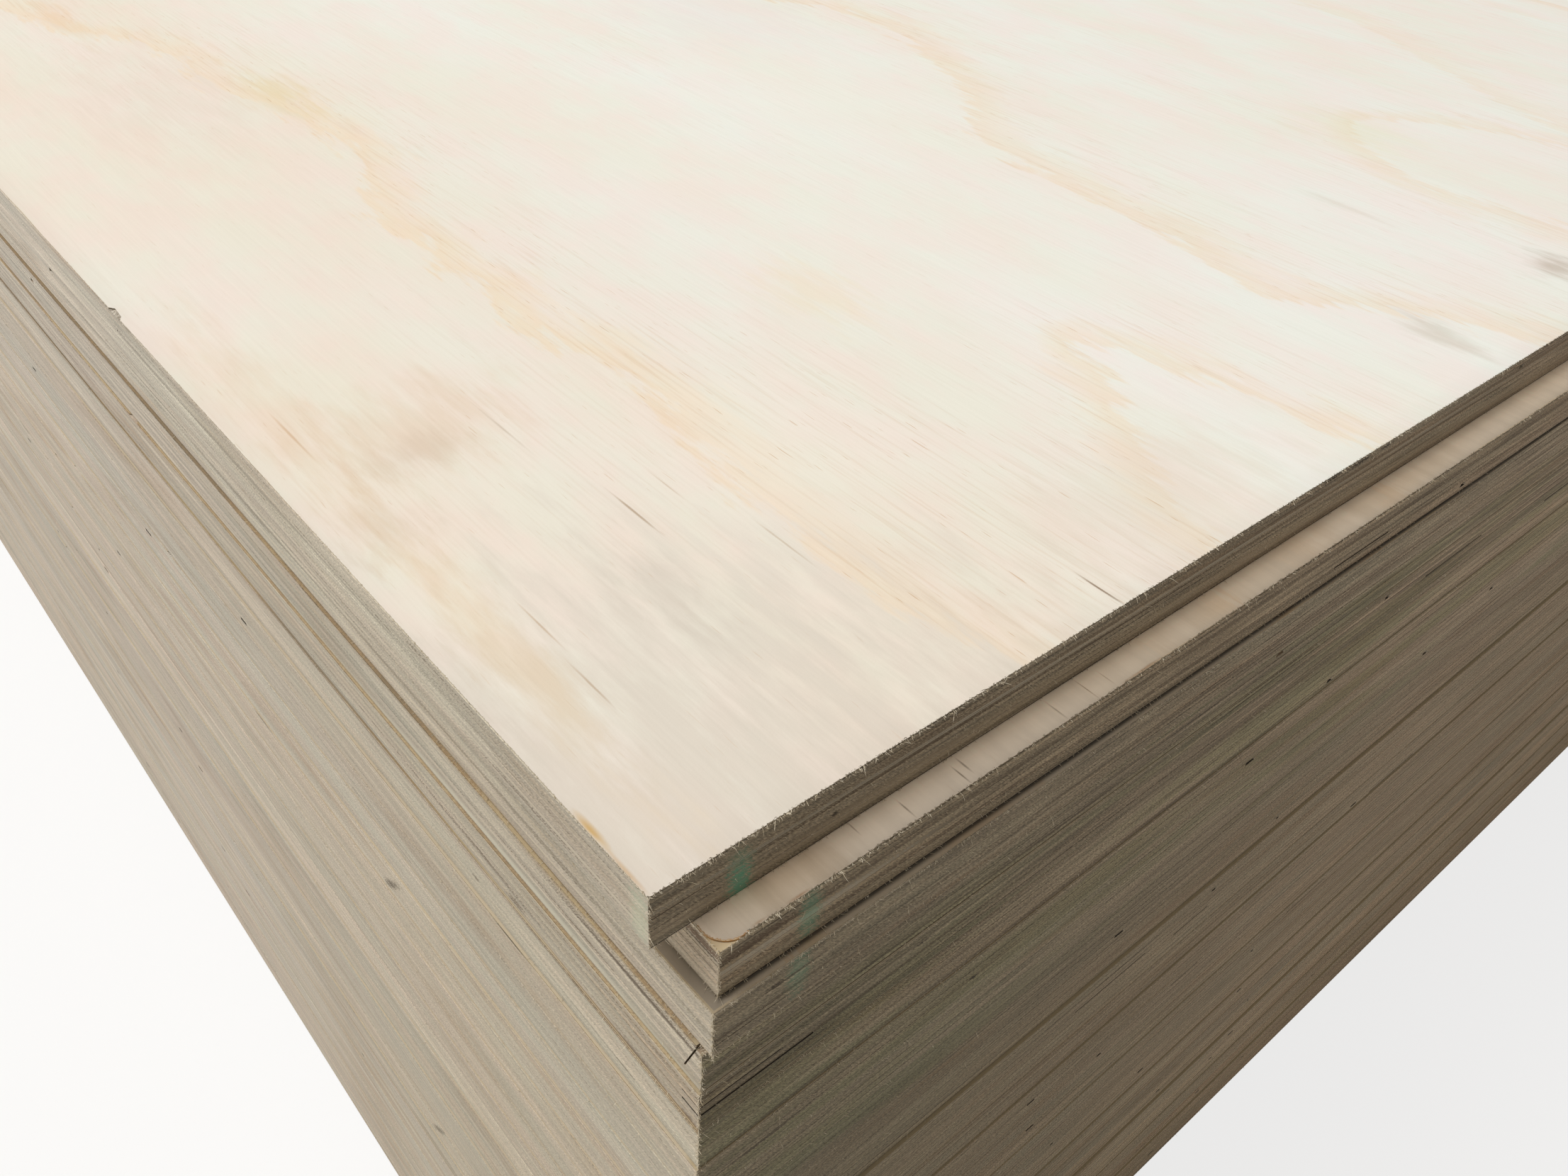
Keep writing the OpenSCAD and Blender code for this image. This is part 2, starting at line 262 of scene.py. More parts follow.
def grain(add, place, lengths, detail, roughness=0.5, shift=(0, 0, 0)):
    """Noise whose spots are this long in mm, along the grain, across it and up."""
    scale = [1 / length if length else 0 for length in lengths]
    drawn_out = add("Mapping", {"Vector": place, "Location": shift, "Scale": scale})
    return add("TexNoise", {"Vector": drawn_out, "Scale": 1.0, "Detail": detail,
                            "Roughness": roughness})


def off_centre(add, at, centre, radii, tilt=(0, 0, 0)):
    """How far a point lies from the middle of a mark, as a share of the mark's radii."""
    own = add("Mapping", {"Vector": at.local, "Location": centre, "Rotation": tilt, "Scale": radii},
              vector_type="TEXTURE")
    return add("VectorMath", [own], operation="LENGTH").outputs["Value"]


def sheet_places(add, name, number, turn):
    """Where a point lies in its sheet, and which of the sheet's surfaces it is on."""
    at = SimpleNamespace()
    # Millimetres from the sheet's near corner: U along the grain, V across, W up through the plies
    coords = add("TexCoord")
    at.local = add("Mapping", {"Vector": coords.outputs["Object"], "Location": near_corner(name),
                               "Rotation": (0, 0, turn), "Scale": (-0.001, 0.001, 0.001)},
                   vector_type="TEXTURE")
    at.u, at.v, at.w = add("SeparateXYZ", [at.local]).outputs
    at.pattern = add("VectorMath", [at.local, (211.7 * number, 97.3 * number, 0)], operation="ADD")
    facing = add("SeparateXYZ", [coords.outputs["Normal"]])
    at.flat, at.on_short = (add("Math", [add("Math", [facing.outputs[axis]], operation="ABSOLUTE"),
                                         0.5], operation="GREATER_THAN") for axis in (2, 0))
    at.off_middle = add("Math", [add("Math", [at.w, half_t], operation="SUBTRACT")],
                        operation="ABSOLUTE")
    outer = flake_from if number == 2 else face_from
    outer = add("Math", [at.off_middle, outer], operation="GREATER_THAN")
    at.on_face = add("Math", [at.flat, outer], operation="MULTIPLY")
    from_u = add("Math", [add("Math", [at.u, half_l], operation="SUBTRACT")], operation="ABSOLUTE")
    from_v = add("Math", [add("Math", [at.v, half_w], operation="SUBTRACT")], operation="ABSOLUTE")
    at.from_edge = add("Math", [add("Math", [half_l, from_u], operation="SUBTRACT"),
                                add("Math", [half_w, from_v], operation="SUBTRACT")],
                       operation="MINIMUM")
    upright = add("Math", [1.0, at.flat], operation="SUBTRACT")
    at.on_long = add("Math", [upright, at.on_short], operation="SUBTRACT", use_clamp=True)
    return at


def wood_patterns(add, at, number):
    """The sawn edge's patterns: broad patches, fibre streaks, the felt of torn fibres, what opens
    and closes along a glue line, and the plies."""
    along = add("Mix", {factor: at.on_short, value_a: at.u, value_b: at.v})
    across = add("Math", [add("Math", [at.u, at.v], operation="ADD"), along], operation="SUBTRACT")

    # Lower down, the patches run on from sheet to sheet, as dust and weather leave them
    drift_place = at.pattern
    if number > 6:
        drift_place = add("VectorMath", [at.local, (0, 0, -2 * half_t * number)], operation="ADD")
    patch = grain(add, drift_place, (150, 150, 10), 4.0)
    at.patch_kinds = add("SeparateColor", [patch.outputs["Color"]])
    at.streak = grain(add, at.pattern, (55, 55, 1.7), 5.0, 0.7)
    # The felt leans, because the saw lays the torn fibres over
    leaning = add("Mapping", {"Vector": add("CombineXYZ", [along, at.w, across]),
                              "Location": (53.1 * number, 0, 0),
                              "Rotation": (0, 0, math.radians(-42)), "Scale": (1.5, 0.42, 0.8)},
                  vector_type="TEXTURE")
    at.felt = add("TexNoise", {"Vector": leaning, "Scale": 1.0, "Detail": 3.0, "Roughness": 0.65})
    opening = grain(add, at.pattern, (110, 110, 1.7), 2.0)
    at.opening_kinds = add("SeparateColor", [opening.outputs["Color"]])

    # Plies, with glue lines that wander by a few tenths of a millimetre
    wander = 2.2
    w_bent = add("Math", [at.patch_kinds.outputs[0], wander, at.w], operation="MULTIPLY_ADD")
    ply = add("MapRange", [w_bent, 0.6 + wander / 2, 17.4 + wander / 2, 0.0, float(core_plies)],
              clamp=False)
    ply_number = add("Math", [ply], operation="FLOOR")
    at.in_ply = add("Math", [add("Math", [ply], operation="FRACT"), 0.5], operation="SUBTRACT")
    at.in_ply = add("Math", [at.in_ply], operation="ABSOLUTE")
    at.tone = add("TexWhiteNoise", {"Vector": add("CombineXYZ", [ply_number, float(number)])},
                  noise_dimensions="2D")


def sawn_edge(add, at, number):
    """The colour of the sawn edges, ply by ply, with their glue lines and painted light and shade.
    """
    # Long edges are grey to cream with pinkish drifts. Short edges are browner, and painted darker
    # as shade for the side that faces away from the lamp, most of all near the corner.
    edge = add("Mix", {factor: add("MapRange", [at.patch_kinds.outputs[0], 0.40, 0.60]),
                       colour_a: linear(wood_cream), colour_b: linear(wood_grey)}, **blend)
    edge = add("Mix", {factor: add("MapRange", [at.patch_kinds.outputs[1], 0.48, 0.64, 0.0, 0.6]),
                       colour_a: edge, colour_b: linear(wood_pink)}, **blend)
    lit_farther = add("MapRange", [at.v, 40.0, 420.0, 0.2 if number < 4 else 0.0, 1.0])
    # Painted light: the lowest sheets take the least light, so their short edges are painted
    # lighter to make up for it
    tone_and_light_lift = short_side_lift.get(number, 1.01 + 0.045 * max(0, number - 19))
    near_shade, far_shade = ([tone_and_light_lift * c for c in linear(tint)] for tint in (short_near, short_far))
    shade = add("Mix", {factor: lit_farther, colour_a: near_shade, colour_b: far_shade}, **blend)
    # Painted light: along the long edges the wood is painted lighter away from the near corner,
    # where more light falls; the upper sheets are a little lighter than the lower
    level = 1.04 if number < 16 else 0.96
    far_light = add("Mix", {factor: add("MapRange", [at.u, 110.0, 430.0]),
                            colour_a: (level, level, level, 1),
                            colour_b: (1.08 * level, 1.09 * level, 1.16 * level, 1)}, **blend)
    shade = add("Mix", {factor: at.on_short, colour_a: far_light, colour_b: shade}, **blend)
    # No two sheets are of quite the same tone
    sheet_draw = random.Random(number)
    tones = [sheet_draw.uniform(0.95, 1.05) for _ in range(2)] if number > 5 else (1.0, 1.0)
    warmth = sheet_draw.uniform(-0.02, 0.02)
    long_tone, short_tone = ([tone_here * c for c in (1 + warmth, 1, 1 - warmth, 1)]
                             for tone_here in tones)
    sheet_tone = add("Mix", {factor: at.on_short, colour_a: long_tone, colour_b: short_tone},
                     **blend)
    shade = add("Mix", {factor: 1.0, colour_a: shade, colour_b: sheet_tone}, **multiply)
    edge = add("Mix", {factor: 1.0, colour_a: edge, colour_b: shade}, **multiply)
    if number in (1, 3):
        # Painted light: the long edges of the top sheet and of the third are painted lighter away
        # from the corner
        start, end, gain = (50.0, 130.0, 1.14) if number == 1 else (80.0, 200.0, 1.15)
        painted_far_light = add("MapRange", [at.u, start, end, 1.0, gain])
        painted_far_light = add("Mix", {factor: at.on_short, value_a: painted_far_light, value_b: 1.0})
        edge = add("Mix", {factor: 1.0, colour_a: edge, colour_b: painted_far_light}, **multiply)
    # The handled sheets at the top are the most uneven
    swing = 1.0 if number < 6 else 0.65 if number < 9 else 0.5
    # Dirt smeared along the fibres
    smear = add("Math", [add("MapRange", [at.patch_kinds.outputs[2], 0.52, 0.64, 0.0, 0.55]),
                         add("MapRange", [at.streak, 0.40, 0.58])], operation="MULTIPLY")
    smeared = add("Mix", {factor: 1.0, colour_a: edge, colour_b: linear(smear_tint)}, **multiply)
    edge = add("Mix", {factor: smear, colour_a: edge, colour_b: smeared}, **blend)
    if 3 < number < 10:
        # A greenish bloom on the short edges
        mossy = add("MapRange", [at.patch_kinds.outputs[1], 0.56, 0.42, 0.0, 0.55])
        mossy = add("Math", [mossy, at.on_short], operation="MULTIPLY")
        green = add("Mix", {factor: 1.0, colour_a: edge, colour_b: linear(moss_tint)}, **multiply)
        edge = add("Mix", {factor: mossy, colour_a: edge, colour_b: green}, **blend)
    tone_low = add("MapRange", [at.on_short, 0.0, 1.0, 1.0 - 0.16 * swing, 1.0 - 0.24 * swing])
    ply_tone = add("MapRange", [at.tone, 0.0, 1.0, tone_low, 1.0 + 0.10 * swing])
    edge = add("Mix", {factor: 1.0, colour_a: edge, colour_b: ply_tone}, **multiply)
    streak_low = add("MapRange", [at.on_short, 0.0, 1.0, 1.0 - 0.17 * swing,
                                  1.0 - 0.32 * max(swing, 0.6)])
    streak_high = add("MapRange", [at.on_short, 0.0, 1.0, 1.0 + 0.07 * swing,
                                   1.0 + 0.22 * max(swing, 0.6)])
    streaks = add("MapRange", [at.streak, 0.38, 0.62, streak_low, streak_high])
    edge = add("Mix", {factor: 1.0, colour_a: edge, colour_b: streaks}, **multiply)
    speckle_low = add("MapRange", [at.on_short, 0.0, 1.0, 0.80, 0.56])
    speckle_high = add("MapRange", [at.on_short, 0.0, 1.0, 1.13, 1.34])
    speckle = add("MapRange", [at.felt, 0.36, 0.64, speckle_low, speckle_high])
    edge = add("Mix", {factor: 1.0, colour_a: edge, colour_b: speckle}, **multiply)
    # Glue lines: in places a dark thread, in places a pale one, and here and there an open joint
    thread = add("MapRange", [at.in_ply, 0.38, 0.47], interpolation_type="SMOOTHSTEP")
    broken = add("MapRange", [at.felt, 0.60, 0.44])
    darkest = add("MapRange", [at.on_short, 0.0, 1.0, 0.7 * swing, 1.0 if number < 12 else 0.75])
    dark = add("MapRange", [at.opening_kinds.outputs[0], 0.50, 0.57, 0.0, darkest])
    dark = add("Math", [dark, broken], operation="MULTIPLY")
    dark = add("Math", [thread, dark], operation="MULTIPLY")
    dark_glue = add("Mix", {factor: at.on_short, colour_a: linear(glue_dark_long),
                            colour_b: linear(glue_dark_short)}, **blend)
    edge = add("Mix", {factor: dark, colour_a: edge, colour_b: dark_glue}, **blend)
    pale = add("MapRange", [at.opening_kinds.outputs[0], 0.46, 0.38, 0.0, 0.4 * swing])
    pale = add("Math", [thread, pale], operation="MULTIPLY")
    pale_glue = add("Mix", {factor: at.on_short, colour_a: linear(glue_pale_long),
                            colour_b: linear(glue_pale_short)}, **blend)
    edge = add("Mix", {factor: pale, colour_a: edge, colour_b: pale_glue}, **blend)
    joint_low = add("MapRange", [at.on_short, 0.0, 1.0, 0.71, 0.64])
    joint = add("MapRange", [at.opening_kinds.outputs[1], joint_low,
                             add("Math", [joint_low, 0.03], operation="ADD")])
    joint = add("Math", [joint, add("MapRange", [at.in_ply, 0.36, 0.42])], operation="MULTIPLY")
    joint = add("Math", [joint, 0.4 + 0.5 * swing], operation="MULTIPLY")
    edge = add("Mix", {factor: joint, colour_a: edge, colour_b: linear(joint_dark)}, **blend)
    return edge


def sheet_joints(add, at, number, edge):
    """The edge's colour where two sheets meet."""
    # The face veneers seen on edge along the long edges: resin-rich pine, brown to orange ochre,
    # more or less clearly from joint to joint
    resin_spots = add("Math", [at.felt, 0.6, at.opening_kinds.outputs[2]], operation="MULTIPLY_ADD")
    at.resin = add("ValToRGB", [resin_spots])
    ramp = at.resin.color_ramp.elements
    ramp[0].position, ramp[0].color = 0.70, linear(resin_brown)
    ramp[1].position, ramp[1].color = 0.90, linear(resin_pale)
    middle = ramp.new(0.80)
    middle.color = linear(resin_ochre)
    (seen_above, thick_above), (seen_below, thick_below) = veneer_lines[number - 1:number + 1]
    thick_below = thickest_veneer.get(number, thick_below)
    seen_here = add("MapRange", [at.w, 8.0, 10.0, seen_below, seen_above])
    thick_here = add("MapRange", [at.w, 8.0, 10.0, thick_below, thick_above])
    w_rough = add("Math", [at.felt, 1.1, at.off_middle], operation="MULTIPLY_ADD")
    veneer_line = add("Math", [w_rough, 9.55], operation="SUBTRACT")
    veneer_line = add("Math", [veneer_line, thick_here], operation="ADD")
    veneer_line = add("MapRange", [veneer_line, -0.1, 0.12])
    veneer_line = add("Math", [veneer_line, seen_here], operation="MULTIPLY")
    low, high, least = (0.40, 0.56, 0.6) if number < 7 else (0.49, 0.58, 0.0)
    coming_and_going = add("MapRange", [at.opening_kinds.outputs[1], low, high, least])
    veneer_line = add("Math", [veneer_line, coming_and_going], operation="MULTIPLY")
    veneer_line = add("Math", [veneer_line, at.on_long], operation="MULTIPLY")
    edge = add("Mix", {factor: veneer_line, colour_a: edge, colour_b: at.resin}, **blend)
    # Along the short edges a joint shows as a dark line of painted shade between two pale, frayed
    # arrises
    in_places = add("MapRange", [at.opening_kinds.outputs[2], 0.42, 0.60, 0.0, 0.55])
    frayed = add("MapRange", [w_rough, 8.2, 8.9])
    frayed = add("Math", [frayed, in_places], operation="MULTIPLY")
    frayed = add("Math", [frayed, at.on_short], operation="MULTIPLY")
    frayed_wood = linear(frayed_upper if number < 4 else frayed_lower)
    edge = add("Mix", {factor: frayed, colour_a: edge, colour_b: frayed_wood}, **blend)
    # Painted shade: a dark line along the foot of each short edge, for the shade in the gap under
    # it
    widest = under_shade_open.get(number, under_shade_closed)
    under_shade_here = add("MapRange", [at.opening_kinds.outputs[1], 0.34, 0.5, 0.2, widest])
    under = add("MapRange", [at.w, 0.35, 0.6, 1.0, 0.0])
    under = add("Math", [under, under_shade_here], operation="MULTIPLY")
    under = add("Math", [under, at.on_short], operation="MULTIPLY")
    edge = add("Mix", {factor: under, colour_a: edge, colour_b: linear(under_shade_dark)}, **blend)
    return edge


def marked_edge(add, at, number, edge):
    """The edge's colour with its marks, and with painted shade, or in two sheets a wood colour,
    inside its slits and open joints.
    """
    for sheet, side, along, height, half_length, width, tilt, strength, colour in edge_marks:
        if sheet == number:
            if side == "short":
                on_side, centre, radii = at.on_short, (0, along, height), (40, half_length, width)
                tilted = (math.radians(-tilt), 0, 0)
            else:
                on_side, centre, radii = at.on_long, (along, 0, height), (half_length, 40, width)
                tilted = (0, math.radians(tilt), 0)
            rough = add("Math", [at.streak, at.felt], operation="ADD")
            off = off_centre(add, at, centre, radii, tilted)
            off = add("Math", [rough, 2.6, off], operation="MULTIPLY_ADD")
            shown = add("MapRange", [off, 2.9, 4.0, strength, 0.0],
                        interpolation_type="SMOOTHSTEP")
            shown = add("Math", [shown, on_side], operation="MULTIPLY")
            edge = add("Mix", {factor: shown, colour_a: edge, colour_b: linear(colour)}, **blend)
    # Painted shade: inside the slits, chips and open joints the wood is painted dark, as shade
    # falls there
    floor_of_slit = add("MapRange", [at.from_edge, 0.10, 0.16])
    floor_of_slit = add("Math", [floor_of_slit, at.flat], operation="MULTIPLY")
    below_face = add("Math", [at.off_middle, flake_from], operation="LESS_THAN")
    deep_shade = add("MapRange", [at.from_edge, 0.45, 1.1])
    deep_shade = add("Math", [deep_shade, floor_of_slit], operation="MAXIMUM")
    deep_shade = add("Math", [deep_shade, below_face], operation="MULTIPLY")
    inside_colour, inside_share = inside_slits.get(number, painted_shade_inside)
    deep_shade = add("Math", [deep_shade, inside_share], operation="MULTIPLY")
    edge = add("Mix", {factor: deep_shade, colour_a: edge, colour_b: linear(inside_colour)}, **blend)
    return edge


def line_height(add, at, points):
    """How far from the long edge a line through these points runs, in mm."""
    curve_node = add("FloatCurve", {"Value": add("Math", [at.u, 0.001], operation="MULTIPLY")})
    curve_node.mapping.use_clip = False
    curve_node.mapping.extend = "HORIZONTAL"
    curve = curve_node.mapping.curves[0]
    curve.points[0].location = (points[0][0] / 1000, points[0][1] / 1000)
    curve.points[1].location = (points[-1][0] / 1000, points[-1][1] / 1000)
    for along, across in points[1:-1]:
        curve.points.new(along / 1000, across / 1000)
    curve_node.mapping.update()
    return add("Math", [curve_node, 1000.0], operation="MULTIPLY")


def top_face(add, at, face, ring, v_ragged):
    """The top sheet's own mottling and rings. The rings that the near part of its face really has
    take the place of the made-up ones."""
    mottle = grain(add, at.pattern, (48, 24, 0), 3.0, 0.6)
    mottle = add("Mix", {factor: add("MapRange", [mottle, 0.38, 0.62]),
                         colour_a: linear(mottle_pink), colour_b: linear(mottle_green)}, **blend)
    face = add("Mix", {factor: 1.0, colour_a: face, colour_b: mottle}, **multiply)
    outside = add("Math", [add("MapRange", [at.u, own_rings_l, made_up_l]),
                           add("MapRange", [at.v, own_rings_w, made_up_w])], operation="MAXIMUM")
    ring = add("Math", [ring, outside], operation="MULTIPLY")
    half_outside = add("MapRange", [outside, 0.0, 1.0, 0.5, 1.0])
    at.zone = add("Math", [at.zone, half_outside], operation="MULTIPLY")
    bands = []
    for points, width, strength in ring_lines:
        from_line = add("Math", [v_ragged, line_height(add, at, points)], operation="SUBTRACT")
        bands.append((from_line, width, strength))
    for middle_line, half, width, strength in ring_loops:
        from_line = add("Math", [v_ragged, line_height(add, at, middle_line)], operation="SUBTRACT")
        from_line = add("Math", [from_line], operation="ABSOLUTE")
        from_line = add("Math", [from_line, line_height(add, at, half)], operation="SUBTRACT")
        bands.append((from_line, width, strength))
    for distance, width, strength in bands:
        start = add("MapRange", [distance, -3.0, 5.0], interpolation_type="SMOOTHSTEP")
        body = add("MapRange", [distance, 3.0, float(width), 0.66 * strength, 0.0])
        body = add("Math", [start, body], operation="MULTIPLY")
        ring = add("Math", [ring, body], operation="MAXIMUM")
        beyond = add("MapRange", [distance, 0.0, 3.2 * width, strength, 0.0])
        beyond = add("Math", [start, beyond], operation="MULTIPLY")
        at.zone = add("Math", [at.zone, beyond], operation="MAXIMUM")
    # Latewood shows well in one more place, near the corner
    cluster = off_centre(add, at, (40, 160, upper_face), (170, 48, mark_depth))
    cluster = add("MapRange", [cluster, 0.5, 1.1, 0.55, 0.0])
    at.zone = add("Math", [at.zone, cluster], operation="MAXIMUM")
    # The strip along the long edge is a little darker and pinker
    strip = add("MapRange", [at.v, 120.0, 260.0, 1.0, 0.0])
    pinker = add("Mix", {factor: 1.0, colour_a: face, colour_b: linear(near_long_edge)}, **multiply)
    face = add("Mix", {factor: strip, colour_a: face, colour_b: pinker}, **blend)
    return face, ring


def face_grain(add, at, number):
    """The faces: cream pine with slow drifts, growth rings drawn out along the grain, streaks of
    latewood, and fine grain."""
    drift = grain(add, at.pattern, (190, 75, 0), 2.0)
    at.drift_kinds = add("SeparateColor", [drift.outputs["Color"]])
    # Ragged, so that the rings' borders are feathered along the grain
    at.ragged = grain(add, at.pattern, (34, 7, 0), 4.0, 0.6)
    at.lines = grain(add, at.pattern, (42, 1.3, 0), 3.0, 0.55)
    at.dash = grain(add, at.pattern, (11, 0.7, 0), 1.0, shift=(0, 400, 0))
    face = add("Mix", {factor: add("MapRange", [at.drift_kinds.outputs[0], 0.36, 0.62]),
                       colour_a: linear(pine_white), colour_b: linear(pine_cream)}, **blend)
    v_ragged = add("Math", [at.ragged, 48.0, add("Math", [at.v, 24.0], operation="SUBTRACT")],
                   operation="MULTIPLY_ADD")
    # Rings of the log, as the contour lines of a hill drawn out along the grain
    along = add("Math", [at.u, 1 / 1000], operation="MULTIPLY")
    across = add("Math", [v_ragged, 1 / 135], operation="MULTIPLY")
    hill = add("CombineXYZ", [along, across, number * 3.7])
    hill = add("TexNoise", {"Vector": hill, "Scale": 1.0, "Detail": 1.0})
    contour = add("Math", [add("Math", [hill, 8.0], operation="MULTIPLY")], operation="FRACT")
    sharp_start = add("MapRange", [contour, 0.0, 0.04])
    slow_end = add("MapRange", [contour, 0.05, 0.4, 1.0, 0.0])
    ring = add("Math", [sharp_start, slow_end], operation="MULTIPLY")
    in_places = add("MapRange", [at.drift_kinds.outputs[1], 0.34, 0.56, 0.0, 0.6])
    ring = add("Math", [ring, in_places], operation="MULTIPLY")
    at.zone = add("MapRange", [at.drift_kinds.outputs[2], 0.5, 0.66, 0.0,
                               0.25 if number == 2 else 0.6])
    if number == 2:
        ring = add("Math", [ring, 0.35], operation="MULTIPLY")
    if number == 1:
        face, ring = top_face(add, at, face, ring, v_ragged)
    body_colour = add("Mix", {factor: at.drift_kinds.outputs[1], colour_a: linear(ring_yellow),
                              colour_b: linear(ring_pink)}, **blend)
    face = add("Mix", {factor: ring, colour_a: face, colour_b: body_colour}, **blend)
    late = add("MapRange", [at.lines, 0.53, 0.70])
    late = add("Math", [add("Math", [late, at.zone], operation="MULTIPLY"), 0.38],
               operation="MULTIPLY")
    face = add("Mix", {factor: late, colour_a: face, colour_b: linear(latewood)}, **blend)
    return face


def marked_face(add, at, number, face):
    """The face's colour with its marks and its short dark dashes."""
    for sheet, along, across, r_along, r_across, strength, colour in face_marks:
        if sheet == number:
            centre, radii = (along, across, upper_face), (r_along, r_across, mark_depth)
            off = off_centre(add, at, centre, radii)
            wander = 2.8 if number == 1 and r_across > 5 else 1.8
            off = add("Math", [at.ragged, wander, off], operation="MULTIPLY_ADD")
            shown = add("MapRange", [off, 0.5 * wander, 0.5 * wander + 1.3, strength, 0.0],
                        interpolation_type="SMOOTHSTEP")
            face = add("Mix", {factor: shown, colour_a: face, colour_b: linear(colour)}, **blend)
    fine_grain = add("MapRange", [at.lines, 0.3, 0.7, 1.012, 0.975])
    face = add("Mix", {factor: 1.0, colour_a: face, colour_b: fine_grain}, **multiply)
    in_zone = add("MapRange", [at.zone, 0.1, 0.7, 0.14, 0.5])
    dashes = add("MapRange", [at.dash, 0.70, 0.76])
    dashes = add("Math", [dashes, in_zone], operation="MULTIPLY")
    face = add("Mix", {factor: dashes, colour_a: face, colour_b: linear(dash_brown)}, **blend)
    return face


def worn_face(add, at, number, face):
    """The face's colour with its grime and painted shade, its ledges and its worn arrises."""
    # Every face is a little darker near its edges
    near_edge = add("MapRange", [at.from_edge, 0.5, 9.0, 0.95, 1.0])
    face = add("Mix", {factor: 1.0, colour_a: face, colour_b: near_edge}, **multiply)
    if number > 1:
        # Only strips of the lower faces show; they are dusty, and painted darker as shade where the
        # sheets above overhang them
        dust_and_shade = linear(dust_and_shade_upper if number == 2 else dust_and_shade_lower)
        face = add("Mix", {factor: 1.0, colour_a: face, colour_b: dust_and_shade}, **multiply)
    if number == 2:
        # Painted shade and light: the strip of the second sheet is painted darker at the rim that
        # stands out and lighter further in, so that it looks evenly shaded, with a ragged mottle
        # over it
        rim_shade = add("MapRange", [at.u, 0.8, 7.5, 0.65, 1.28])
        rim_shade = add("Math", [rim_shade, add("MapRange", [at.ragged, 0.36, 0.64, 0.95, 1.06])],
                    operation="MULTIPLY")
        face = add("Mix", {factor: 1.0, colour_a: face, colour_b: rim_shade}, **multiply)
    if number == 3:
        # Painted light and shade: the third sheet's ledge is painted bright at its rim and dark
        # where the second overhangs it
        inward = add("Math", [at.v, 0.004, at.u], operation="MULTIPLY_ADD")
        shaded = add("MapRange", [inward, 1.3, 2.4, 1.8, 0.42])
        shaded = add("Mix", {factor: add("MapRange", [at.v, 3.0, 7.0]), value_a: 0.95,
                             value_b: shaded})
        face = add("Mix", {factor: 1.0, colour_a: face, colour_b: shaded}, **multiply)
    ochre = ledge_ochre.get(number, plain_ochre)
    if number > 3:
        ledge = add("Mix", {factor: ochre, colour_a: linear(ledge_long), colour_b: at.resin},
                    **blend)
        off_short = add("MapRange", [at.u, ledge_turns[0], ledge_turns[1]])
        face = add("Mix", {factor: off_short, colour_a: linear(ledge_short), colour_b: ledge},
                   **blend)
    # Within a millimetre of the arris the veneer is ochre and scuffed in places
    least, most = (0.0, 0.9) if number == 1 else (0.3, 1.2)
    wear = add("MapRange", [at.opening_kinds.outputs[2], 0.48, 0.7, least, most])
    worn = add("Math", [at.from_edge, wear], operation="LESS_THAN")
    worn_share = 0.5
    if number > 3:
        worn_share = add("MapRange", [off_short, 0.0, 1.0, 0.1, 0.1 + 0.55 * ochre])
    worn = add("Math", [worn, worn_share], operation="MULTIPLY")
    worn_wood = add("Mix", {factor: 0.4, colour_a: at.resin, colour_b: linear(arris_pale)}, **blend)
    face = add("Mix", {factor: worn, colour_a: face, colour_b: worn_wood}, **blend)
    if number < 3:
        # The saw has left the arris frayed, so the face ends in a ragged dark line
        teeth = add("MapRange", [at.u, 1.0, 3.0, 0.85, 0.45])
        teeth = add("MapRange", [at.felt, 0.46, 0.66, 0.2, teeth])
        nibbled = add("Math", [at.from_edge, teeth], operation="LESS_THAN")
        nibbled = add("Math", [nibbled, 0.85], operation="MULTIPLY")
        off_short = add("MapRange", [at.u, 1.0, 3.0])
        frayed_wood = add("Mix", {factor: off_short, colour_a: linear(frayed_short),
                                  colour_b: linear(frayed_long)}, **blend)
        face = add("Mix", {factor: nibbled, colour_a: face, colour_b: frayed_wood}, **blend)
    return face


def flaked_corner(add, at, face):
    """Where a flake is off the second sheet's corner: a thin torn orange rim round a 7 mm radius,
    and beyond it the cream wood of the next ply with brownish streaks."""
    rim = off_centre(add, at, (flake_r, flake_r, upper_face), (flake_r, flake_r, 40))
    rim = add("Math", [rim, 0.06], operation="SUBTRACT")
    rim = add("Math", [at.felt, 0.22, rim], operation="MULTIPLY_ADD")
    at_corner = add("Math", [add("Math", [at.u, at.v], operation="ADD"), 9.0],
                    operation="LESS_THAN")
    bare = add("Mix", {factor: add("MapRange", [at.streak, 0.42, 0.62, 0.0, 0.8]),
                       colour_a: linear(bare_pale), colour_b: linear(bare_brown)}, **blend)
    gone = add("Math", [add("MapRange", [rim, 1.0, 1.05]), at_corner], operation="MULTIPLY")
    face = add("Mix", {factor: gone, colour_a: face, colour_b: bare}, **blend)
    rim = add("Math", [add("MapRange", [rim, 0.985, 1.005, 0.0, 0.8]),
                       add("MapRange", [rim, 1.015, 1.045, 1.0, 0.0])], operation="MULTIPLY")
    rim = add("Math", [rim, at_corner], operation="MULTIPLY")
    face = add("Mix", {factor: rim, colour_a: face, colour_b: linear(torn_orange)}, **blend)
    return face


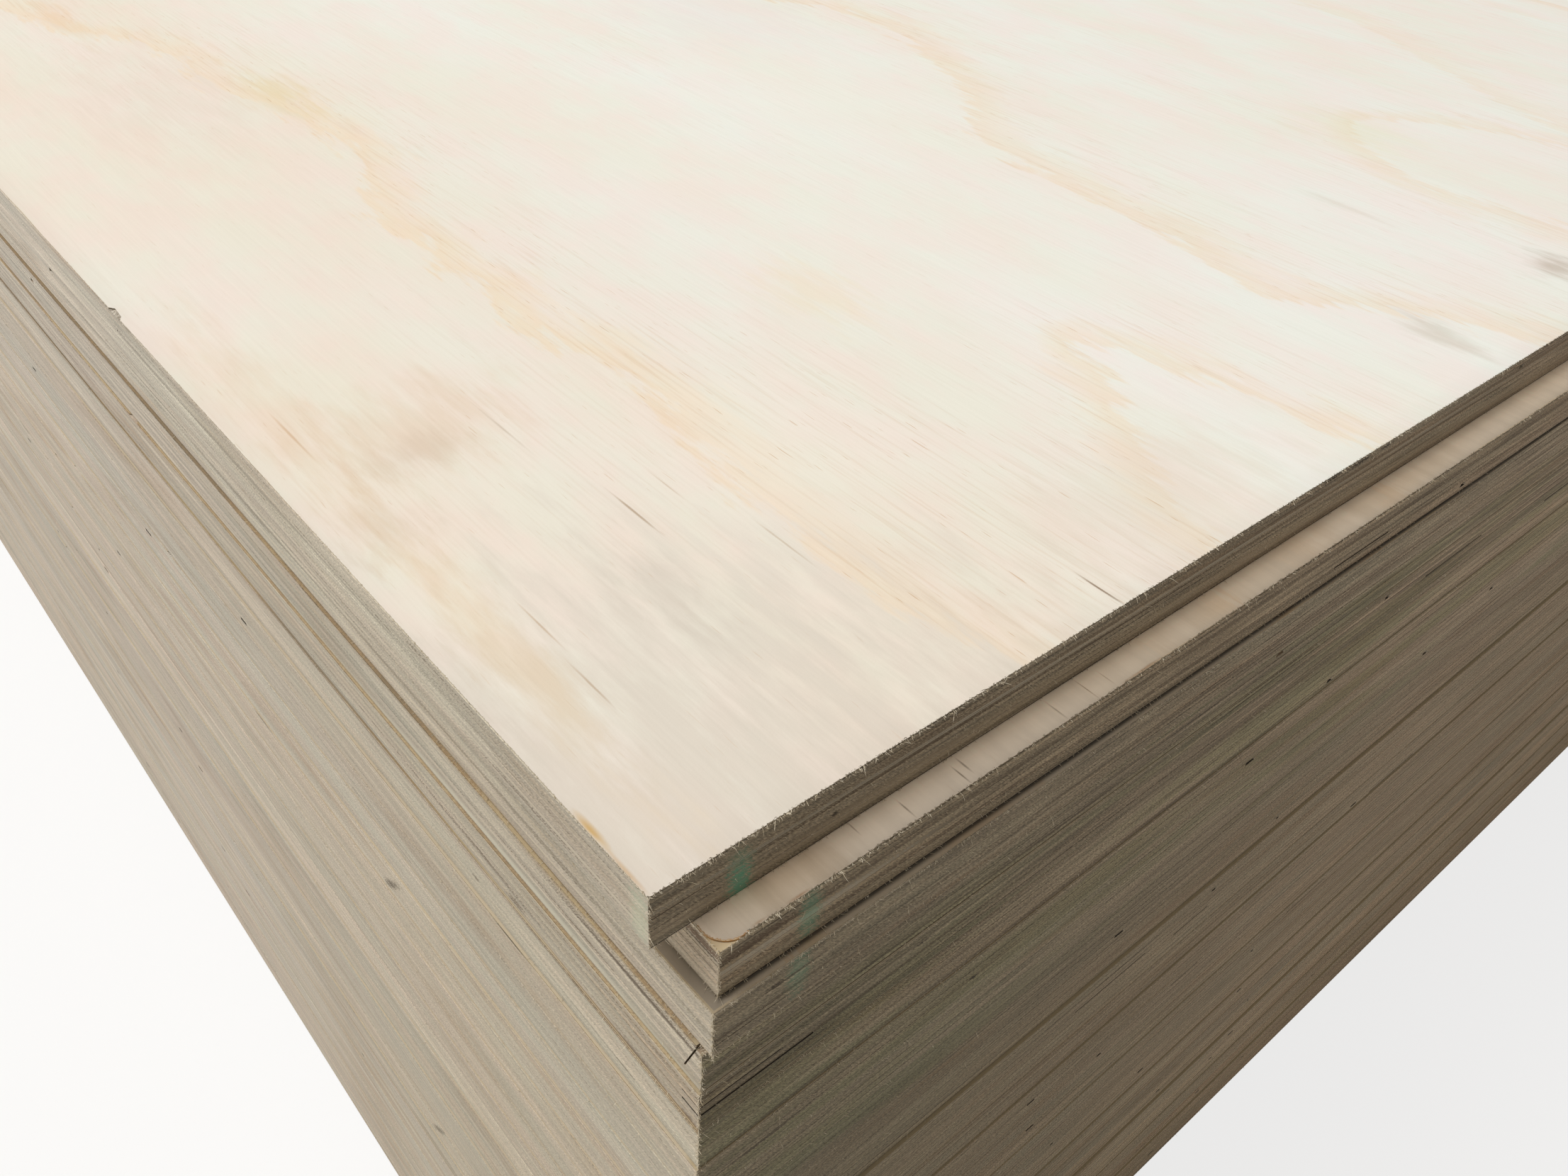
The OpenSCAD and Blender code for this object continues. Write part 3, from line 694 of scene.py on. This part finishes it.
def sheet_material(name, number, turn):
    """Raw pine-faced plywood: matt and open-grained, with the plies showing in the sawn edges."""
    material = bpy.data.materials.new(f"pine_plywood_{number:02d}")
    material.use_nodes = True
    tree = material.node_tree
    tree.nodes.clear()

    def add(kind, inputs=None, **settings):
        return add_node(tree, kind, inputs, **settings)

    at = sheet_places(add, name, number, turn)
    wood_patterns(add, at, number)
    edge = sawn_edge(add, at, number)
    edge = sheet_joints(add, at, number, edge)
    edge = marked_edge(add, at, number, edge)
    edge_height = add("Math", [at.streak, add("Math", [at.felt, 0.7], operation="MULTIPLY")],
                      operation="ADD")
    edge_bump = add("Bump", {"Height": edge_height, "Distance": 0.0003, "Strength": 0.9})
    edge_shader = add("BsdfPrincipled", {"Base Color": edge, "Roughness": 0.85, "IOR": 1.45,
                                         "Normal": edge_bump})

    face = face_grain(add, at, number)
    face = marked_face(add, at, number, face)
    face = worn_face(add, at, number, face)
    if number == 2:
        face = flaked_corner(add, at, face)
    face_height = add("Math", [at.lines, add("Math", [at.felt, 0.6], operation="MULTIPLY")],
                      operation="ADD")
    face_bump = add("Bump", {"Height": face_height, "Distance": 0.0001, "Strength": 0.5})
    face_shader = add("BsdfPrincipled", {"Base Color": face, "Roughness": 0.72, "IOR": 1.45,
                                         "Normal": face_bump})
    add("OutputMaterial", [add("MixShader", [at.on_face, edge_shader, face_shader])])
    return material


for number, name in enumerate(sheet_names, 1):
    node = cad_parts[name]
    turn = second_turn if number == 2 else 0.0
    node.data.materials.clear()
    node.data.materials.append(sheet_material(name, number, turn))


# Torn fibres
# The saw leaves the pine's fibres as fuzz along every arris and glue line: pale hairs of about a
# millimetre, with some longer ones, thick near the corner that was handled most.
draw = random.Random(7)
box_low, box_high = cad_box
hair_pale, hair_brown = "#EBE1CC", "#B9AB91"
hair_radius = 0.0001
short_hair, long_hair, long_share = (0.0004, 0.0011), (0.0012, 0.0026), 0.07
thickness_range = (0.5, 1.1)
# Hairs stay this far inside the stack's box, and root this far inside an edge or a corner
box_margin, root_depth, corner_depth = 0.00012, 0.0002, 0.0003
# Hairs on an arris root within this band below it or above it, and others this near a glue line
arris_band, glue_band = 0.0004, 0.0003

hair = bpy.data.materials.new("torn_pine_fibre")
hair.use_nodes = True
tree = hair.node_tree
tree.nodes.clear()
coords = add_node(tree, "TexCoord")
spots = add_node(tree, "TexNoise", {"Vector": coords.outputs["Object"], "Scale": 900.0,
                                    "Detail": 1.0})
spots = add_node(tree, "MapRange", [spots, 0.35, 0.65])
tint = add_node(tree, "Mix", {factor: spots, colour_a: linear(hair_brown),
                              colour_b: linear(hair_pale)}, **blend)
dry_wood = add_node(tree, "BsdfPrincipled", {"Base Color": tint, "Roughness": 0.7})
add_node(tree, "OutputMaterial", [dry_wood])


def fibre(curve, root, way):
    """Adds one hair to a curve: four points, bent, thinning to the tip, inside the stack's box."""
    way = way.normalized()
    length = draw.uniform(*(long_hair if draw.random() < long_share else short_hair))
    thickness = draw.uniform(*thickness_range)
    bend = Vector([draw.uniform(-1, 1) for _ in range(3)]) * 0.45 - Vector((0, 0, 0.1))
    spline = curve.splines.new("POLY")
    spline.points.add(3)
    for point, share, taper in zip(spline.points, (0.0, 0.4, 0.75, 1.0), (1.0, 0.85, 0.6, 0.15)):
        place = root + (way * share + bend * share * share) * length
        kept = [min(max(c, low + box_margin), high - box_margin)
                for c, low, high in zip(place, box_low, box_high)]
        point.co = (*kept, 1.0)
        point.radius = thickness * taper


# How many hairs to a millimetre at the near corner, and how far along an edge they thin out
near_density, near_reach, far_density, upright_density = 4.5, 0.20, 0.02, 8.0
for group, first, last in (("upper", 1, 8), ("lower", 9, len(sheet_names))):
    for edge_name in ("short", "long"):
        name = f"fibres_{group}_{edge_name}"
        curve = bpy.data.curves.new(name, "CURVE")
        curve.dimensions = "3D"
        curve.bevel_depth = hair_radius
        curve.bevel_resolution = 0
        curve.materials.append(hair)
        for number in range(first, last + 1):
            corner = near_corner(sheet_names[number - 1])
            turn = Matrix.Rotation(second_turn if number == 2 else 0.0, 3, "Z")
            along = turn @ (Vector((0, 1, 0)) if edge_name == "short" else Vector((-1, 0, 0)))
            outward = turn @ (Vector((1, 0, 0)) if edge_name == "short" else Vector((0, -1, 0)))
            edge_l = sheet_w if edge_name == "short" else sheet_l
            thick_fuzz = near_density * (1.0 if number < 4 else 0.25 if number < 9 else 0.06)
            thick_fuzz *= 1.0 if edge_name == "short" else 0.5
            step = 0.0
            while step < edge_l:
                density = thick_fuzz * math.exp(-step / near_reach) + far_density
                step += draw.expovariate(1.0) / (density * 1000)
                if step > edge_l:
                    break
                line = draw.random()
                if line < 0.5:
                    height = sheet_t - draw.uniform(0, arris_band)
                elif line < 0.75:
                    height = draw.uniform(0, arris_band)
                else:
                    glue_line = face_t + core_t * draw.randint(0, core_plies)
                    height = glue_line + draw.uniform(-glue_band, glue_band)
                root = corner + along * step + Vector((0, 0, height)) - outward * root_depth
                way = outward + along * draw.uniform(-1.2, 1.2)
                fibre(curve, root, way + Vector((0, 0, draw.uniform(-0.9, 0.5))))
            if edge_name == "short" and number < 9:
                # The upright corner of each handled sheet is frayed too
                for _ in range(int(sheet_t * 1000 * upright_density)):
                    up_the_corner = draw.uniform(root_depth, sheet_t - root_depth)
                    root = corner + Vector((-corner_depth, corner_depth, up_the_corner))
                    way = Vector((draw.uniform(-0.3, 1), draw.uniform(-1, 0.3),
                                  draw.uniform(-0.4, 0.5)))
                    fibre(curve, root, way)
        fuzz = bpy.data.objects.new(name, curve)
        bpy.context.scene.collection.objects.link(fuzz)
        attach(fuzz, "root")


# Floor and surroundings
# A plain white floor and white surroundings, so that the stack stands alone. The camera sees
# them nearly white, and the floor still takes the stack's soft shadow.
floor_size = 30.0
floor_drop = 0.0005
floor_grey, room_cream = "#E8E6E2", "#F4EDE2"
# How much of the floor's own white, rather than its lit grey, the camera sees
floor_white = 0.78
room_strength = 0.33
bpy.ops.mesh.primitive_plane_add(size=floor_size, location=(0, 0, box_low.z - floor_drop))
floor = bpy.context.object
floor.name = "studio_floor"
floor_paint = bpy.data.materials.new("white_matt_floor")
floor_paint.use_nodes = True
tree = floor_paint.node_tree
tree.nodes.clear()
matt = add_node(tree, "BsdfDiffuse", {"Color": linear(floor_grey)})
white = add_node(tree, "Emission", {"Color": (1, 1, 1, 1), "Strength": 1.0})
seen = add_node(tree, "Math", [add_node(tree, "LightPath").outputs["Is Camera Ray"], floor_white],
                operation="MULTIPLY")
add_node(tree, "OutputMaterial", [add_node(tree, "MixShader", [seen, matt, white])])
floor.data.materials.append(floor_paint)

world = bpy.data.worlds.new("white_room")
bpy.context.scene.world = world
world.use_nodes = True
tree = world.node_tree
tree.nodes.clear()
room = add_node(tree, "Background", {"Color": linear(room_cream), "Strength": room_strength})
white = add_node(tree, "Background", {"Color": (1, 1, 1, 1), "Strength": 1.0})
seen = add_node(tree, "LightPath").outputs["Is Camera Ray"]
add_node(tree, "OutputWorld", [add_node(tree, "MixShader", [seen, room, white])])


# Light and camera
# One large soft light stands at the far end of the front, so the top and the long edge are
# bright and the short edge at the near end lies in shade.
lamp_size, lamp_watts, lamp_colour = 8.0, 1330, (1.0, 0.985, 0.96)
lamp_place, lamp_aim = Vector((-3.1, -4.6, 11.0)), Vector((0.5, -0.3, 0.4))
key = bpy.data.lights.new("softbox", "AREA")
key.shape = "RECTANGLE"
key.size, key.size_y = lamp_size, lamp_size
key.energy = lamp_watts
key.color = lamp_colour
lamp = bpy.data.objects.new("softbox", key)
bpy.context.scene.collection.objects.link(lamp)
lamp.location = lamp_place
lamp.rotation_euler = (lamp_aim - lamp_place).to_track_quat("-Z", "Y").to_euler()

# The camera is a phone's, held 28 cm from the near corner of the top sheet
eye_from_corner = Vector((0.1421, -0.0979, 0.2251))
top_corner = near_corner("sheet_01") + Vector((0, 0, sheet_t))
eye = top_corner + eye_from_corner
forward = Vector((-0.57090, 0.52572, -0.63063))
right = Vector((0.64586, 0.76179, 0.05037)).normalized()
back = -forward.normalized()
up = back.cross(right).normalized()
camera = bpy.data.cameras.new("camera")
camera.sensor_width = 36.0
focal_px, photo_width = 1848.2, 2212
camera.lens = camera.sensor_width * focal_px / photo_width
camera.clip_start = 0.01
camera.clip_end = 60.0
camera_object = bpy.data.objects.new("camera", camera)
bpy.context.scene.collection.objects.link(camera_object)
turn_matrix = Matrix((right, up, back)).transposed().to_4x4()
camera_object.matrix_world = Matrix.Translation(eye) @ turn_matrix
bpy.context.scene.camera = camera_object
bpy.context.scene.view_settings.view_transform = "Standard"
